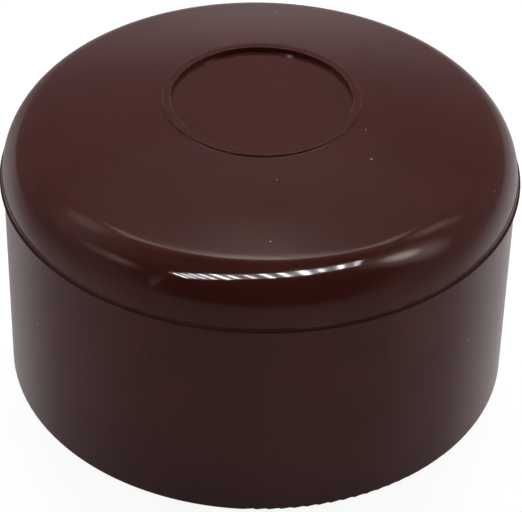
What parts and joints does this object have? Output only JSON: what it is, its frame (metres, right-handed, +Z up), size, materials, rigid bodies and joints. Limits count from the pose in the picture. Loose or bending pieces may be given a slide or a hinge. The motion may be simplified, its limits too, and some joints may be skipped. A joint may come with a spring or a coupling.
{
  "type": "shoe polish box",
  "caption": "Round moulded plastic box of shoe polish, with a domed slip-on lid and a sealing disc.",
  "frame": {"origin": "centre of the cup's flat underside", "axes": "+Z up along the box's axis of revolution; the box looks the same from every side, so +X and +Y are free"},
  "size_m": [0.0808, 0.0808, 0.0487],
  "materials": {
    "shell": "glossy moulded thermoset",
    "board": "matt pulp board",
    "waxed_paper": "waxed",
    "polish": "waxy, semi-gloss"
  },
  "bodies": {
    "cup": {"cup": "shell", "polish": "polish"},
    "sealing_disc": {"liner_board": "board", "liner_facing": "waxed_paper"},
    "lid": {"lid": "shell"}
  },
  "joints": [
    {"name": "lid_lift", "type": "slide", "parent": "cup", "child": "sealing_disc", "axis": [0, 0, 1], "range_m": [0, 0.05]},
    {"name": "lid_turn", "type": "hinge", "parent": "sealing_disc", "child": "lid", "pos_m": [0, 0, 0.035], "axis": [0, 0, 1], "continuous": true}
  ]
}
